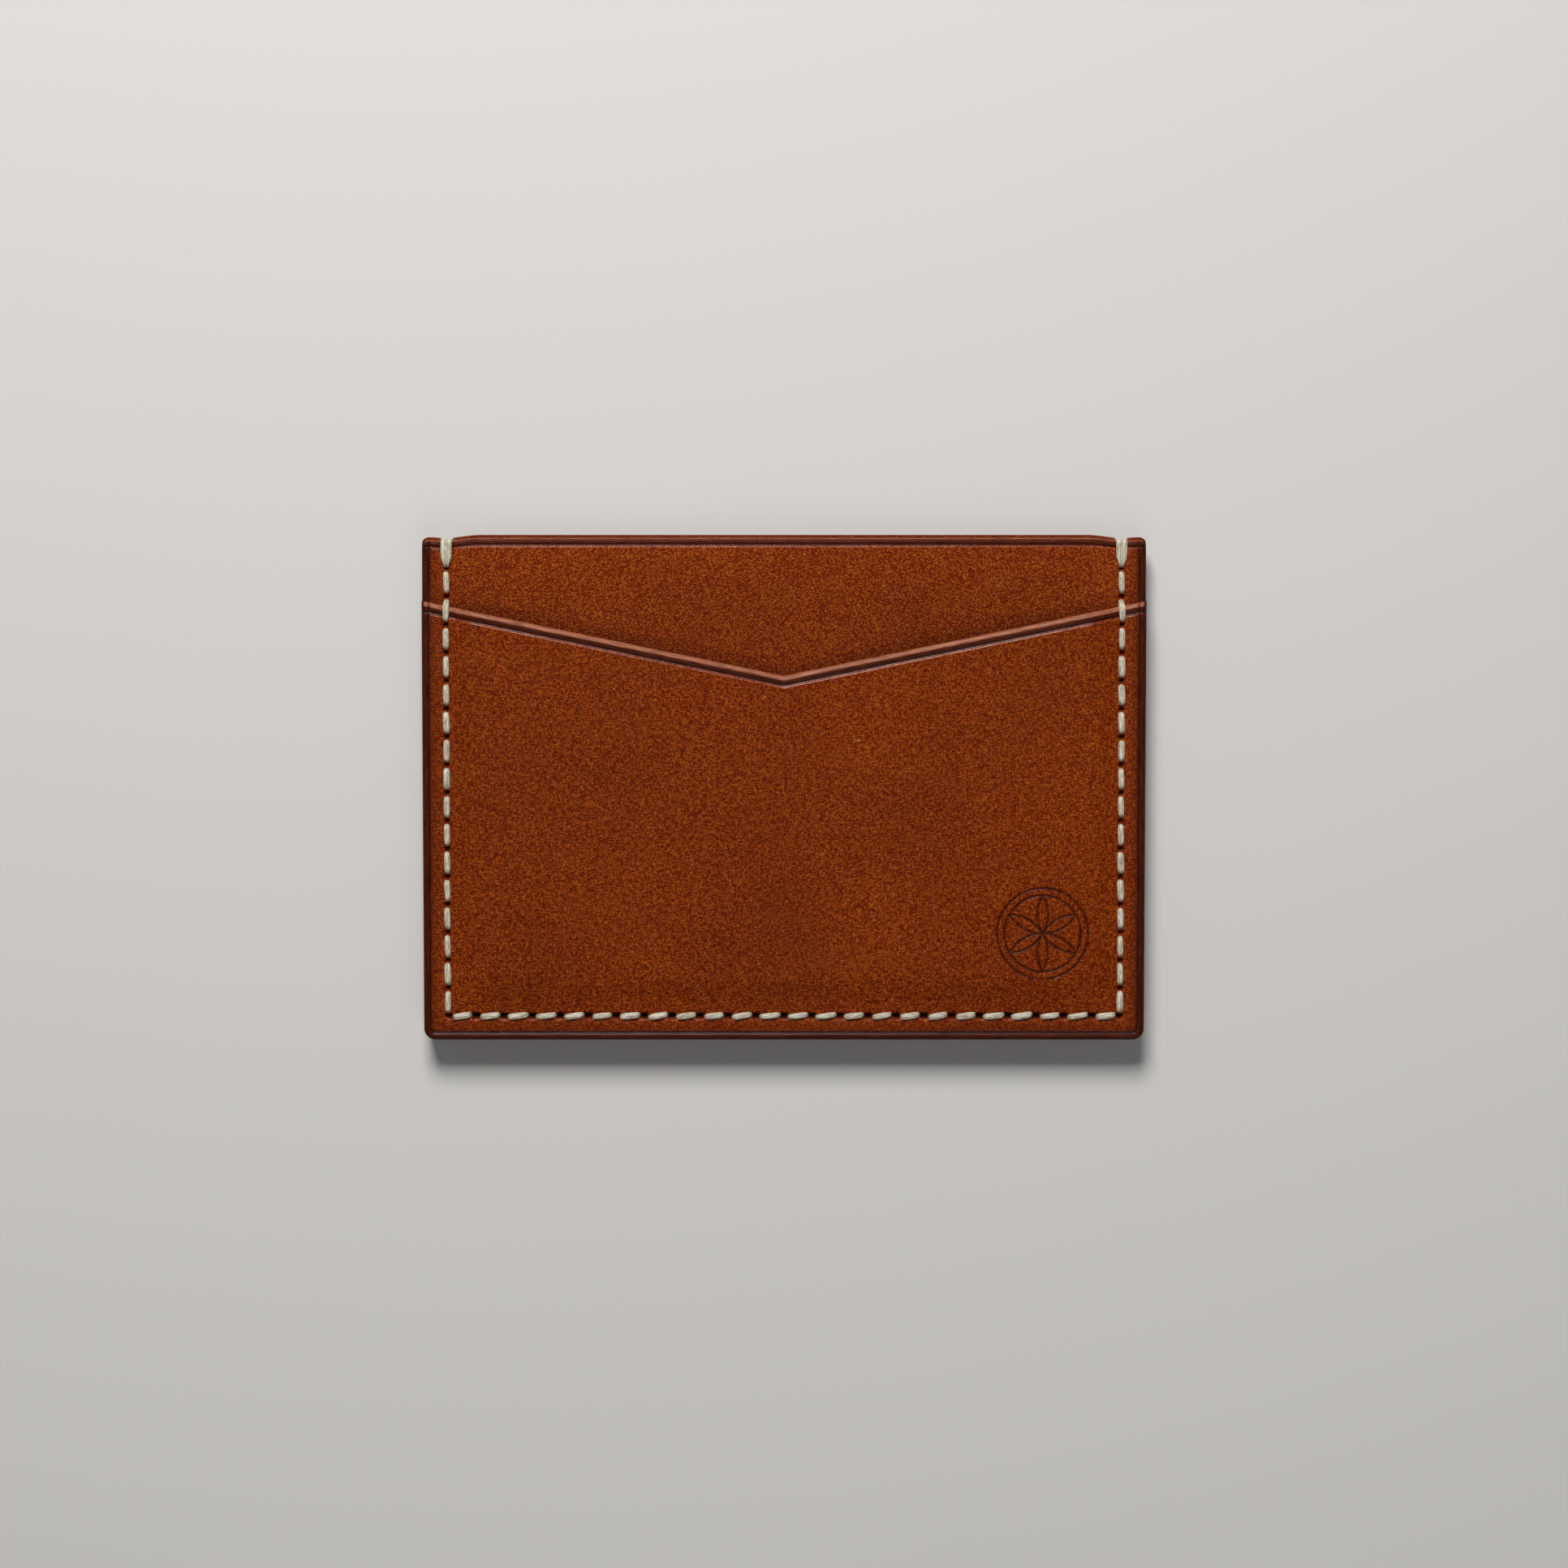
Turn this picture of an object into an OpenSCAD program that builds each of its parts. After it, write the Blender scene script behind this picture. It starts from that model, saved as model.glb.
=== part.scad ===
// Card holder: four leather panels with V-cut outer pockets, saddle-stitched on three sides.
// It lies flat on its back: X across the width, Y up to the open mouth, Z through the thickness.
// The origin is under the middle of the holder, on the plane that the rear pocket rests on.
// The modules draw the holder from its bottom edge upwards, and centred() moves it to the origin.

/* [Holder] */
// Width across the two stitched sides
holder_w = 100; // [98:1:110]
// Height from the stitched bottom edge to the mouth
holder_h = 70; // [66:1:76]
// Radius of the two bottom corners
bottom_corner_r = 1.4; // [0.5:0.1:2.5]
// Radius of the two top corners
top_corner_r = 0.8; // [0.5:0.1:1.5]

/* [Leather] */
// Thickness of each leather panel
leather_t = 1.1; // [0.9:0.1:1.4]
// Room in each slot for one standard card, 0.76 thick
card_gap = 0.85; // [0.8:0.05:1]

/* [Pockets] */
// Height of the pocket mouths where they meet the sides
v_side_y = 60.9; // [58:0.2:62]
// Depth of the V below its two ends
v_depth = 10.3; // [8:0.1:13]
// How much lower the front divider's mouth is cut than the rear one's, between the wrapped stitches
mouth_step = 0.4; // [0.1:0.1:1]

/* [Seam] */
// Distance from the cut edge to the row of stitches
seam_inset = 3.4; // [3:0.1:3.6]
// Stitches down each side
side_stitches = 16; // [14:1:17]
// Stitches along the bottom
bottom_stitches = 24; // [20:1:26]
// Distance from the mouth down to the first hole
first_hole_down = 4.6; // [4:0.2:6]
// Width of one laid stitch
thread_w = 0.9; // [0.7:0.1:1]
// Height of one laid stitch
thread_h = 0.55; // [0.45:0.05:0.65]
// Radius of the thread where it passes through the leather
thread_r = 0.38; // [0.3:0.02:0.4]
// Width of the doubled stitch that wraps over the mouth
wrap_w = 1.6; // [1.2:0.1:1.8]

/* [Hidden] */
$fn = 32;

half_w = holder_w / 2;
seam_x = half_w - seam_inset;                 // side seams at x = +-seam_x
glued_w = seam_inset + thread_w / 2 + 0.2;    // margin where all four panels lie in contact
side_ramp = 2.2;                              // the leather rises to its moulded room over this width
bottom_ramp = 3.6;
field_x = half_w - glued_w - side_ramp;       // inside +-field_x the slots are fully open
field_y = glued_w + bottom_ramp;

mid_z = 2 * leather_t + 2 * card_gap;         // the plane between the two dividers
seam_top_y = holder_h - first_hole_down;
side_pitch = (seam_top_y - seam_inset) / side_stitches;
bottom_pitch = 2 * seam_x / bottom_stitches;
hole_r = thread_r + 0.04;
groove_d = 0.25;                              // stitching groove that the thread beds into
groove_w = thread_w + 0.1;
notch_d = 1.1;                                // the wrapped stitch presses this deep into the mouth
wrap_t = 0.5;                                 // thickness of the wrapped stitch over the mouth
wrap_low_y = holder_h - notch_d + 0.02;       // it lies on the bottom of its notch, below the mouth
wrap_fit = 0.05;                              // free space on each side of the wrapped stitch
wrap_tail = 0.45;                             // the wrapped stitch runs this far past the first hole
stitch_gap = 0.1;                             // each laid stitch stops this far short of its holes
climb_gap = 0.15;                             // between the pocket's edge and the stitch that climbs it
climb_w = 0.45;                               // length of that stitch's slope
reach = 20;                                   // larger than any thickness, for cutting shapes

// Height of the V edge above the bottom at the distance x from the middle
function v_y(x) = v_side_y - v_depth * (1 - abs(x) / half_w);
// Hole positions, down both sides and along the bottom between them
side_holes = [for (s = [-1, 1], i = [0 : side_stitches]) [s * seam_x, seam_top_y - i * side_pitch]];
bottom_holes = [for (i = [1 : bottom_stitches - 1]) [-seam_x + i * bottom_pitch, seam_inset]];
holes = concat(side_holes, bottom_holes);
v_seam_y = v_y(seam_x);

// The holder's flat outline, with rounded corners
module outline() {
    br = bottom_corner_r;
    tr = top_corner_r;
    translate([-half_w + br, 0]) square([holder_w - 2 * br, holder_h / 2]);
    translate([-half_w, br]) square([holder_w, holder_h - br - tr]);
    translate([-half_w + tr, holder_h / 2]) square([holder_w - 2 * tr, holder_h / 2]);
    for (s = [-1, 1]) {
        translate([s * (half_w - br), br]) circle(br);
        translate([s * (half_w - tr), holder_h - tr]) circle(tr);
    }
}

// The same outline cut to the V-shaped pocket mouth
module pocket_outline() {
    intersection() {
        outline();
        polygon([[-half_w, 0], [half_w, 0], [half_w, v_side_y], [0, v_side_y - v_depth],
                 [-half_w, v_side_y]]);
    }
}

// Everything under a surface that lies at z = base on the glued margin
// and rises by bow inside the field
module under(base, bow) {
    far_x = half_w + 1;
    intersection() {
        translate([0, holder_h + 1, 0]) rotate([90, 0, 0]) linear_extrude(holder_h + 2)
            polygon([[-far_x, -reach], [far_x, -reach], [far_x, base],
                     [field_x + side_ramp, base], [field_x, base + bow],
                     [-field_x, base + bow], [-field_x - side_ramp, base], [-far_x, base]]);
        translate([-far_x, 0, 0]) rotate([90, 0, 90]) linear_extrude(2 * far_x)
            polygon([[-1, -reach], [holder_h + 1, -reach], [holder_h + 1, base + bow],
                     [field_y, base + bow], [field_y - bottom_ramp, base], [-1, base]]);
    }
}

// One leather panel of the given outline, with its moulded field
module panel(base, bow) {
    intersection() {
        translate([0, 0, base]) linear_extrude(leather_t + bow) children();
        if (bow > 0) {
            difference() {
                under(base + leather_t, bow);
                under(base, bow);
            }
        } else {
            translate([-holder_w, -1, base]) cube([2 * holder_w, holder_h + 2, leather_t]);
        }
    }
}

// Stitch holes of radius hole_r through the whole stack, up to the height top_y
module stitch_holes(top_y) {
    for (h = holes) {
        if (h[1] < top_y) {
            translate([h[0], h[1], -reach]) cylinder(r = hole_r, h = 2 * reach);
        }
    }
}

// The groove along the seam, cut from above into the face at z = face_z
module seam_groove(face_z) {
    z = face_z - groove_d;
    for (s = [-1, 1]) {
        translate([s * seam_x - groove_w / 2, seam_inset - groove_w / 2, z])
            cube([groove_w, holder_h, reach]);
    }
    translate([-seam_x, seam_inset - groove_w / 2, z]) cube([2 * seam_x, groove_w, reach]);
}

// The two places where the wrapped stitch presses into the mouth
module wrap_notches() {
    w = wrap_w + 2 * wrap_fit;
    for (s = [-1, 1]) {
        translate([s * seam_x - w / 2, holder_h - notch_d, -reach]) cube([w, 2 * notch_d, 2 * reach]);
    }
}

// The strip that is cut off the front divider's mouth between the wrapped stitches
module mouth_cut() {
    x = seam_x - wrap_w;
    translate([-x, holder_h - mouth_step, -reach]) cube([2 * x, 2 * mouth_step, 2 * reach]);
}

// The groove in a divider, above the pocket and a little wider under the wrapped stitch
module divider_groove(face_z) {
    z = face_z - groove_d;
    for (s = [-1, 1]) {
        translate([s * seam_x - groove_w / 2, v_seam_y, z])
            cube([groove_w, holder_h, reach]);
        translate([s * seam_x - wrap_w / 2 - wrap_fit, seam_top_y, z])
            cube([wrap_w + 2 * wrap_fit, holder_h, reach]);
    }
}

// Turns a piece of the front half over into the rear half
module to_rear() {
    translate([0, 0, 2 * mid_z]) mirror([0, 0, 1]) children();
}

// Moves the drawn shape, which starts at its bottom edge, so that its middle is over the origin
module centred() {
    translate([0, -holder_h / 2, 0]) children();
}

module pocket_shape(bow) {
    difference() {
        panel(mid_z + leather_t, bow) pocket_outline();
        stitch_holes(v_seam_y);
        seam_groove(mid_z + 2 * leather_t);
    }
}

module divider_shape(bow) {
    difference() {
        panel(mid_z, bow) outline();
        stitch_holes(holder_h);
        divider_groove(mid_z + leather_t);
        wrap_notches();
    }
}

// One laid stitch between two points of the same face, its underside at z = bed_z
module laid_stitch(from, to, bed_z) {
    d = to - from;
    translate([from[0], from[1], bed_z]) rotate([0, 0, atan2(d[1], d[0])])
        translate([stitch_gap, -thread_w / 2, 0])
            cube([norm(d) - 2 * stitch_gap, thread_w, thread_h]);
}

// The front half of one side seam, down to the corner hole
module side_run(x) {
    upper_bed = mid_z + leather_t - groove_d;
    lower_bed = mid_z + 2 * leather_t - groove_d;
    for (i = [0 : side_stitches - 1]) {
        from = [x, seam_top_y - i * side_pitch];
        to = [x, seam_top_y - (i + 1) * side_pitch];
        if (to[1] > v_seam_y) {
            laid_stitch(from, to, upper_bed);
        } else if (from[1] < v_seam_y) {
            laid_stitch(from, to, lower_bed);
        } else {
            // This stitch climbs over the edge of the pocket
            edge = v_seam_y + climb_gap;
            low_y = to[1] + stitch_gap;
            high_y = from[1] - stitch_gap;
            translate([x - thread_w / 2, 0, 0]) rotate([90, 0, 90]) linear_extrude(thread_w)
                polygon([[low_y, lower_bed], [edge, lower_bed], [edge, upper_bed],
                         [high_y, upper_bed], [high_y, upper_bed + thread_h],
                         [edge + climb_w, lower_bed + thread_h], [low_y, lower_bed + thread_h]]);
        }
    }
    // The doubled stitch from the first hole to the mouth
    translate([x - wrap_w / 2, seam_top_y - wrap_tail, upper_bed])
        cube([wrap_w, wrap_low_y + wrap_t - seam_top_y + wrap_tail, thread_h]);
}

module front_run() {
    lower_bed = mid_z + 2 * leather_t - groove_d;
    side_run(-seam_x);
    side_run(seam_x);
    for (i = [0 : bottom_stitches - 1]) {
        laid_stitch([-seam_x + i * bottom_pitch, seam_inset],
                    [-seam_x + (i + 1) * bottom_pitch, seam_inset], lower_bed);
    }
}

module front_pocket() {
    color([0.44, 0.18, 0.05]) centred() pocket_shape(card_gap);
}

module front_divider() {
    color([0.48, 0.22, 0.08]) centred() difference() {
        divider_shape(0);
        mouth_cut();
    }
}

module rear_divider() {
    color([0.46, 0.2, 0.07]) centred() to_rear() divider_shape(card_gap);
}

module rear_pocket() {
    color([0.42, 0.17, 0.05]) centred() to_rear() pocket_shape(2 * card_gap);
}

// One waxed thread, laid on both faces and passing through every hole
module seam_thread() {
    lay_z = leather_t - groove_d + thread_h / 2;
    color([0.72, 0.66, 0.58]) centred() union() {
        front_run();
        to_rear() front_run();
        for (h = holes) {
            depth = h[1] < v_seam_y ? leather_t + lay_z : lay_z;
            translate([h[0], h[1], mid_z - depth]) cylinder(r = thread_r, h = 2 * depth);
        }
        // Over the mouth, from the front face to the rear face
        for (s = [-1, 1]) {
            translate([s * seam_x - wrap_w / 2, wrap_low_y, mid_z - lay_z])
                cube([wrap_w, wrap_t, 2 * lay_z]);
        }
    }
}

front_pocket();
front_divider();
rear_divider();
rear_pocket();
seam_thread();
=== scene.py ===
import math
import random

import bmesh
import bpy
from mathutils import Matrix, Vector, noise


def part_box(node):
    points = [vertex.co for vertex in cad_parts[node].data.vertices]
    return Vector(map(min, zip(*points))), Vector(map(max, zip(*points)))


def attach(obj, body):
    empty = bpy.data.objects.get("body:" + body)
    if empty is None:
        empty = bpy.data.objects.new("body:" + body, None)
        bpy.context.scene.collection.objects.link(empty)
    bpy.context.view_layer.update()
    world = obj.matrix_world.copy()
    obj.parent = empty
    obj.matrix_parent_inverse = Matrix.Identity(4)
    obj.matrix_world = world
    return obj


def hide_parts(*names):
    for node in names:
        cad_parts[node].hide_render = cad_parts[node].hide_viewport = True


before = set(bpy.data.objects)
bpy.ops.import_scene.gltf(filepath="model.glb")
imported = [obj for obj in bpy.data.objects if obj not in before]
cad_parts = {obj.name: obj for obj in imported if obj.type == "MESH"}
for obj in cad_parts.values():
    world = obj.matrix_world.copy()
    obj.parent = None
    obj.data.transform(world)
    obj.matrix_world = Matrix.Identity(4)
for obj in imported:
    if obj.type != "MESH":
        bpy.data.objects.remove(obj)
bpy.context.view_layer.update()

MM = 0.001    # the frame is in metres

# ---------------------------------------------------------------- sizes, from the frame
pocket_low, pocket_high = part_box("front_pocket")
divider_low, divider_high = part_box("front_divider")
thread_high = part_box("seam_thread")[1]

# Pieces are drawn with their bottom edge at y = 0 and moved to BOTTOM_Y when they are whole
BOTTOM_Y = divider_low[1]
HALF_W = pocket_high[0]
HOLDER_H = divider_high[1] - BOTTOM_Y
V_SIDE_Y = pocket_high[1] - BOTTOM_Y
V_DEPTH = 10.3 * MM
MID_Z = divider_low[2]
LEATHER = divider_high[2] - divider_low[2]
CARD_ROOM = pocket_high[2] - pocket_low[2] - LEATHER
BOTTOM_CORNER_R = 1.6 * MM
TOP_CORNER_R = 0.9 * MM

# The seam: one row of holes down each side and along the bottom
WRAP_W = 1.6 * MM
SEAM_X = thread_high[0] - WRAP_W / 2
SEAM_INSET = HALF_W - SEAM_X
WRAP_TOP_Y = thread_high[1] - BOTTOM_Y
SEAM_TOP_Y = HOLDER_H - 4.6 * MM
SIDE_STITCHES = 16
BOTTOM_STITCHES = 24
SIDE_PITCH = (SEAM_TOP_Y - SEAM_INSET) / SIDE_STITCHES
BOTTOM_PITCH = 2 * SEAM_X / BOTTOM_STITCHES
THREAD_W = 0.93 * MM
THREAD_H = 0.62 * MM

# The leather surface, from the cut edge inwards
EDGE_ROUND = 0.7 * MM         # radius of the burnished side and bottom edges of the whole stack
FREE_ROUND = 0.55 * MM        # radius of a single panel's own edge, at a pocket mouth
SIDE_CREASE_AT = 1.02 * MM    # the pressed crease beside the side and bottom edges
V_CREASE_AT = 1.32 * MM       # and beside the V-shaped edges
MOUTH_CREASE_AT = 0.98 * MM   # and beside the straight edges of the mouth
V_BARE_W = 0.62 * MM          # undyed band of the V-shaped edges
MOUTH_BARE_W = 0.16 * MM
BEAD_FALL = 0.58 * MM         # width of the bead's slope into the crease
CREASE_WALL = 0.34 * MM
CREASE_DEPTH = 0.21 * MM
MOUTH_STEP = 0.42 * MM        # the rear divider stands this much above the front one
MOUTH_DIP = 0.42 * MM         # and both are drawn down this much beside the wrapped stitches
MARGIN_W = 4.1 * MM           # panels lie in contact this far in from the sides
FIELD_RAMP = 3.4 * MM         # and rise to the field over this far
INNER_ROUND = 0.3 * MM        # radius of a panel's inner edges
WAVE_DEPTH = 0.06 * MM        # depth of the field's slow unevenness
SEAM_WORK_W = 1.1 * MM        # the mesh is refined this near to the seam
HOLE_DEPTH = 0.6 * MM
RIDGE_RISE = 0.15 * MM        # the ridge that the awl raised beside the bottom row
FAR = 1.0                     # stands for a place that is not near the seam at all
CELL = BOTTOM_PITCH / 4       # spacing of the panel meshes, before the worked places are refined

# The pressed ornament in the lower right of the front pocket
ROSETTE_CENTRE = Vector((35.8 * MM, 14.9 * MM))
ROSETTE_R = 5.3 * MM
RING_R = 6.3 * MM
PRESS_W = 0.15 * MM
PRESS_DEPTH = 0.22 * MM


def smooth(t):
    """0 below t = 0, 1 above t = 1, and an even S-shaped step between them."""
    t = min(1.0, max(0.0, t))
    return t * t * (3 - 2 * t)


def bump_at(d, width):
    """A bell curve: 1 at d = 0, and next to nothing beyond twice the width."""
    return math.exp(-(d / width) ** 2)


def v_edge_y(x):
    """Height of the pockets' V-shaped edge at x."""
    return V_SIDE_Y - V_DEPTH * (1 - abs(x) / HALF_W)


# Turns a height below the V-shaped edge into a distance square to it
V_COS = HALF_W / math.hypot(HALF_W, V_DEPTH)


def v_distance(x, y):
    """How far a point lies inside the V-shaped edge of a pocket."""
    return (v_edge_y(x) - y) * V_COS


def seam_distance(x, y):
    """Distance to the seam line, distance along it from the nearest hole, and if it is a side row."""
    side = abs(abs(x) - SEAM_X) if y > SEAM_INSET else math.hypot(abs(x) - SEAM_X, y - SEAM_INSET)
    bottom = abs(y - SEAM_INSET) if abs(x) < SEAM_X else FAR
    if side < bottom:
        step = (y - SEAM_INSET) / SIDE_PITCH
        along = (step - round(step)) * SIDE_PITCH if y < SEAM_TOP_Y + 0.5 * MM else FAR
        return side, along, True
    step = (x + SEAM_X) / BOTTOM_PITCH
    return bottom, (step - round(step)) * BOTTOM_PITCH, False


def rounded(d, radius):
    """How far a quarter-round edge lies below its flat face at the distance d from the edge."""
    if d >= radius:
        return 0.0
    return radius * (1 - math.sqrt(max(0.0, 1 - (1 - max(d, 0.0) / radius) ** 2)))


def rosette_distance(x, y):
    """Distance to the lines of a six-petal compass rosette inside two rings."""
    px, py = x - ROSETTE_CENTRE.x, y - ROSETTE_CENTRE.y
    r = math.hypot(px, py)
    best = min(abs(r - ROSETTE_R), abs(r - RING_R))
    if r < ROSETTE_R:
        for k in range(6):
            a = math.radians(60 * k + 30)
            best = min(best, abs(math.hypot(px - ROSETTE_R * math.cos(a), py - ROSETTE_R * math.sin(a))
                                 - ROSETTE_R))
    return best


# ---------------------------------------------------------------- leather panels
def cut(bm, place, normal, faces=None):
    """Splits faces, or all of them, along a plane and keeps both sides."""
    faces = bm.faces[:] if faces is None else faces
    geom = {e for f in faces for e in f.edges} | {v for f in faces for v in f.verts} | set(faces)
    bmesh.ops.bisect_plane(bm, geom=list(geom), dist=1e-7, plane_co=place, plane_no=normal)


def rim_lines(crease_at):
    """Distances from an edge where the sheet needs a line of points: the round, the bead, the crease."""
    edge_round = [0.03, 0.1, 0.2, 0.34, 0.5]
    bead_and_crease = [-0.6, -0.42, -0.27, -0.15, -0.06, 0, 0.06, 0.14, 0.24, 0.32, 0.36, 0.44]
    return [d * MM for d in edge_round] + [crease_at + d * MM for d in bead_and_crease]


def flat_sheet(is_pocket):
    """The panel's flat outline as a grid, with extra lines along its edges."""
    bm = bmesh.new()
    columns = 2 * round(HALF_W / CELL)
    rows = round(HOLDER_H / CELL)
    bmesh.ops.create_grid(bm, x_segments=columns, y_segments=rows, size=0.5)
    bmesh.ops.scale(bm, vec=(2 * HALF_W, HOLDER_H, 1), verts=bm.verts)
    bmesh.ops.translate(bm, vec=(0, HOLDER_H / 2, 0), verts=bm.verts)
    for d in rim_lines(SIDE_CREASE_AT):
        cut(bm, (-HALF_W + d, 0, 0), (1, 0, 0))
        cut(bm, (HALF_W - d, 0, 0), (1, 0, 0))
        cut(bm, (0, d, 0), (0, 1, 0))
    if not is_pocket:
        for d in rim_lines(MOUTH_CREASE_AT):
            cut(bm, (0, HOLDER_H - d, 0), (0, 1, 0))
        return bm
    tip = Vector((0, V_SIDE_Y - V_DEPTH, 0))
    for side in (-1, 1):
        up = Vector((-side * V_DEPTH, HALF_W, 0)).normalized()
        for d in [0.0] + rim_lines(V_CREASE_AT):
            half = [f for f in bm.faces if f.calc_center_median().x * side > 0
                    and f.calc_center_median().y > tip.y - 3 * MM]
            cut(bm, tip - up * d, up, half)
    beyond = [f for f in bm.faces if v_distance(*f.calc_center_median().xy) < 0]
    bmesh.ops.delete(bm, geom=beyond, context="FACES")
    return bm


def is_outer(v):
    """Until a panel is shaped, its outer points are at z = 1 and its inner points at z = 0."""
    return v.co.z > 0.5


def refine(bm, near, cuts):
    """Subdivides the outer side where near(x, y) is true, after many-sided faces are split there."""
    odd = [f for f in bm.faces if len(f.verts) > 4 and all(is_outer(v) for v in f.verts)
           and near(*f.calc_center_median().xy)]
    bmesh.ops.triangulate(bm, faces=odd)
    edges = [e for e in bm.edges if all(is_outer(v) for v in e.verts)
             and near(*((e.verts[0].co + e.verts[1].co) / 2).xy)]
    bmesh.ops.subdivide_edges(bm, edges=edges, cuts=cuts, use_grid_fill=True)


def near_seam(x, y):
    """Whether a place is in the band that the seam works."""
    return seam_distance(x, y)[0] < SEAM_WORK_W


def near_rosette(x, y):
    """Whether a place is inside the pressed ornament or just outside its outer ring."""
    return math.hypot(x - ROSETTE_CENTRE.x, y - ROSETTE_CENTRE.y) < RING_R + 0.8 * MM


def round_corners(x, y, is_pocket):
    """Draws the square corners of the outline in to their radius."""
    for radius, top in ((BOTTOM_CORNER_R, False), (TOP_CORNER_R, True)):
        if top and is_pocket:
            continue
        cx = HALF_W - radius
        u = (abs(x) - cx) / radius
        v = (y - (HOLDER_H - radius)) / radius if top else (radius - y) / radius
        if u > 0 and v > 0:
            s = max(u, v) / math.hypot(u, v)
            x = math.copysign(cx + u * s * radius, x)
            y = HOLDER_H - radius + v * s * radius if top else radius - v * s * radius
    return x, y


def field_rise(x, y):
    """0 on the glued margins and 1 in the field, where the leather is moulded to take a card."""
    return (smooth((HALF_W - MARGIN_W - abs(x)) / FIELD_RAMP)
            * smooth((y - MARGIN_W) / (1.5 * FIELD_RAMP)))


def mouth_dip(x, y, step):
    """The wrapped stitches press into the mouth at both seams and draw it down around them."""
    pulled = 1 - smooth((SEAM_X - abs(x)) / (4.5 * MM))
    eased = 1 - 0.25 * smooth((abs(x) - SEAM_X) / (3 * MM))
    broad = (step + MOUTH_DIP * pulled * eased) * (1 - smooth((HOLDER_H - y) / (5 * MM)))
    under_wrap = 1 - smooth((abs(abs(x) - SEAM_X) - 0.56 * MM) / (0.36 * MM))
    pressed = HOLDER_H - WRAP_TOP_Y + 0.5 * MM - step - MOUTH_DIP
    return broad + pressed * under_wrap * (1 - smooth((HOLDER_H - y) / (2.2 * MM)))


def crease(d, at):
    """Depth of a pressed crease: the bead beside the edge falls into it, a steep wall leads out."""
    bead = at - BEAD_FALL
    if d <= bead or d >= at + CREASE_WALL:
        return 0.0
    if d < at:
        return CREASE_DEPTH * ((d - bead) / BEAD_FALL) ** 2.8
    return CREASE_DEPTH * (1 - (d - at) / CREASE_WALL)


def seam_relief(x, y):
    """The seam's valley and holes, and the ragged ridge that the awl raised beside the bottom row."""
    across, along, is_side = seam_distance(x, y)
    valley = 0.15 * MM * bump_at(across, 0.6 * MM)
    if y > SEAM_TOP_Y and is_side:
        valley = 0.26 * MM * bump_at(across, 0.85 * MM)
    slit = 0.08 * MM if is_side else 0.36 * MM
    hole = (1 - smooth((across - 0.24 * MM) / (0.2 * MM))) * (1 - smooth((abs(along) - slit) / (0.3 * MM)))
    ridge = 0.0
    if not is_side:
        ragged = 0.55 + 1.1 * noise.noise(Vector((x * 1500, y * 900, 0)))
        ridge = max(0.0, ragged) * bump_at(y - SEAM_INSET + 0.62 * MM, 0.16 * MM)
    return valley + HOLE_DEPTH * hole - RIDGE_RISE * ridge, hole, ridge


def outer_drop(x, y, side_d, free_d, is_pocket, bare):
    """How far the worked surface lies below the plain face, and the masks of its crease bottoms and holes,
    which are darkened with painted shade (the crease partly with the creaser's burn).
    """
    free_at = V_CREASE_AT if is_pocket else MOUTH_CREASE_AT
    stack_round = EDGE_ROUND if bare else 0.1 * MM
    a = rounded(side_d, stack_round) * 0.9
    b = rounded(free_d, FREE_ROUND)
    drop = a + b - a * b / max(stack_round, FREE_ROUND)
    side_crease = crease(side_d, SIDE_CREASE_AT) if bare else 0.0
    drop += max(side_crease, crease(free_d, free_at))
    at_bottom = max(bump_at(side_d - SIDE_CREASE_AT, 0.1 * MM) if bare else 0.0,
                    bump_at(free_d - free_at, 0.1 * MM))
    hole = ridge = 0.0
    if bare:
        relief, hole, ridge = seam_relief(x, y)
        drop += relief
    return drop, at_bottom, hole, ridge


def polish_at(depth, at, bead):
    """Wax gloss: a little on the bead, and most in the crease's far wall."""
    wall = smooth((depth - at + 0.08 * MM) / (0.08 * MM)) * smooth((at + 0.44 * MM - depth) / (0.1 * MM))
    return max(wall, bead * smooth((at - depth) / (0.1 * MM)))


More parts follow.
